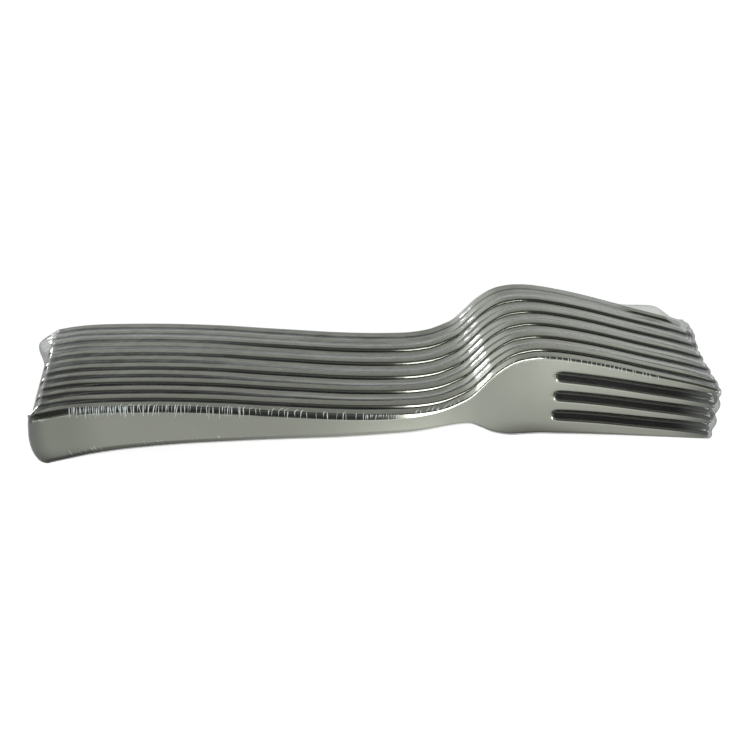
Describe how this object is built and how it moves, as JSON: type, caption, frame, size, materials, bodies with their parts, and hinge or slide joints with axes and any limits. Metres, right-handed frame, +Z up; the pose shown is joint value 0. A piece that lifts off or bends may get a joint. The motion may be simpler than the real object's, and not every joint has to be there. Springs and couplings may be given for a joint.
{
  "type": "plastic cutlery pack",
  "caption": "Nested sleeve of metallised plastic forks lying on their long edges, bound as one block by clear shrink film.",
  "frame": {"origin": "centre of the bounding box in X and Y, at the plane the pack rests on", "axes": "+X along the forks from the handle ends to the tines, +Y through the stack towards the bulging backs of the heads, +Z up across the width of the forks"},
  "size_m": [0.1962, 0.056, 0.0294],
  "materials": {
    "metallised_plastic": "polystyrene with a bright vacuum-metallised silver skin under clear lacquer",
    "clear_film": "clear glossy shrink film, drawn tight, with small gathers"
  },
  "bodies": {
    "root": {"fork_01": "metallised_plastic", "fork_02": "metallised_plastic", "fork_03": "metallised_plastic", "fork_04": "metallised_plastic", "fork_05": "metallised_plastic", "fork_06": "metallised_plastic", "fork_07": "metallised_plastic", "fork_08": "metallised_plastic", "fork_09": "metallised_plastic", "fork_10": "metallised_plastic", "fork_11": "metallised_plastic", "fork_12": "metallised_plastic", "shrink_film": "clear_film"}
  },
  "joints": []
}
